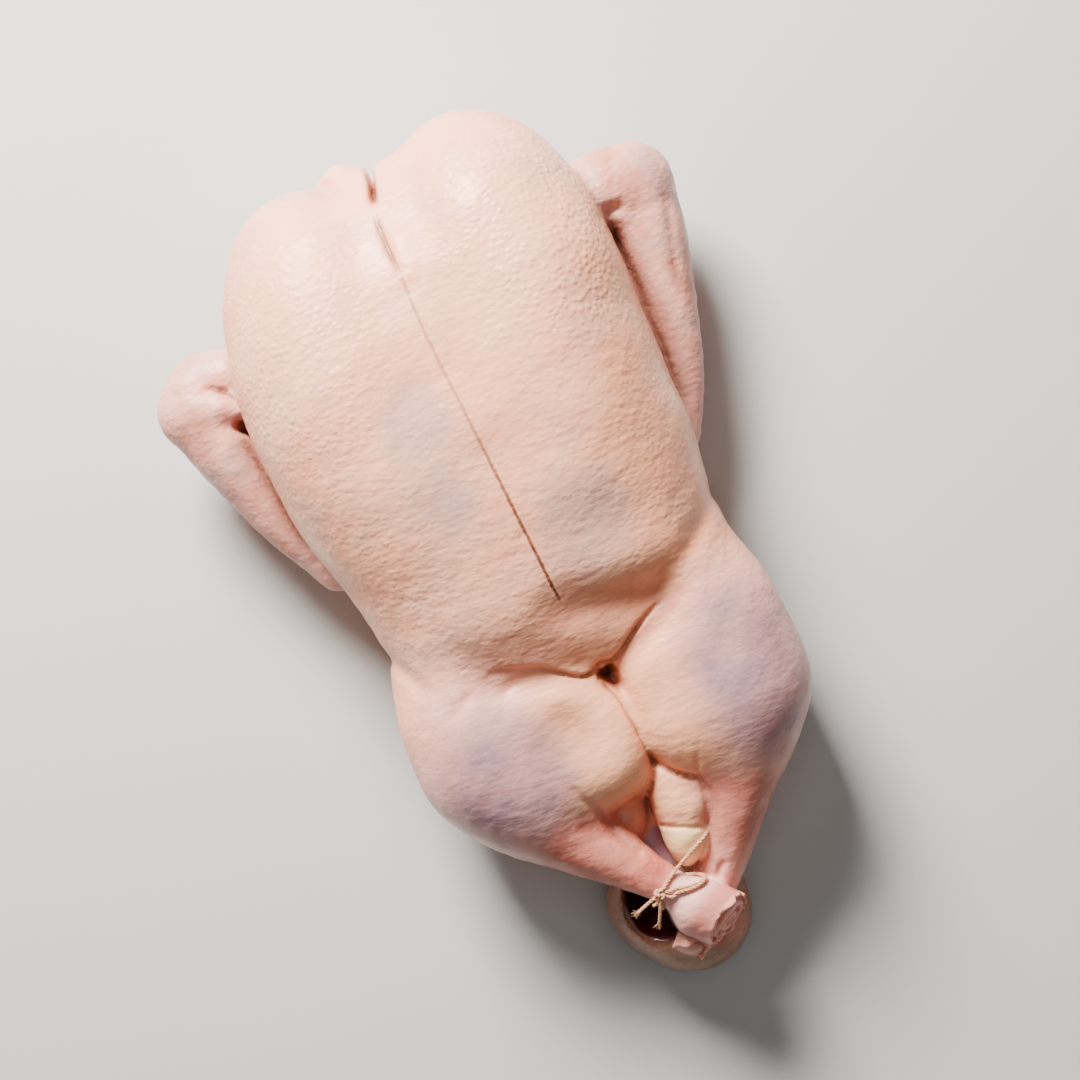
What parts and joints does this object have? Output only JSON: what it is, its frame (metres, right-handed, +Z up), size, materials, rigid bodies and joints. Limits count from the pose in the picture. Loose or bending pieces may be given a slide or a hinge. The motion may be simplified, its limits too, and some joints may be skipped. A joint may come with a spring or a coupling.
{
  "type": "whole raw duck",
  "caption": "Whole raw duck, plucked and oven-ready, lying on its back with folded wings and crossed legs tied with twine.",
  "frame": {"origin": "in the plane that the bird's back rests on, under the middle of its bounding box", "axes": "+Z up through the breast; +Y along the bird towards its neck end; +X across the bird, to the right when the neck end points away"},
  "size_m": [0.2188, 0.3434, 0.1069],
  "materials": {
    "skin": "moist satin raw poultry skin, cream to pink, finely pimpled",
    "twine": "twisted natural kitchen twine"
  },
  "bodies": {
    "root": {"carcass": "skin", "twine": "twine"}
  },
  "joints": []
}
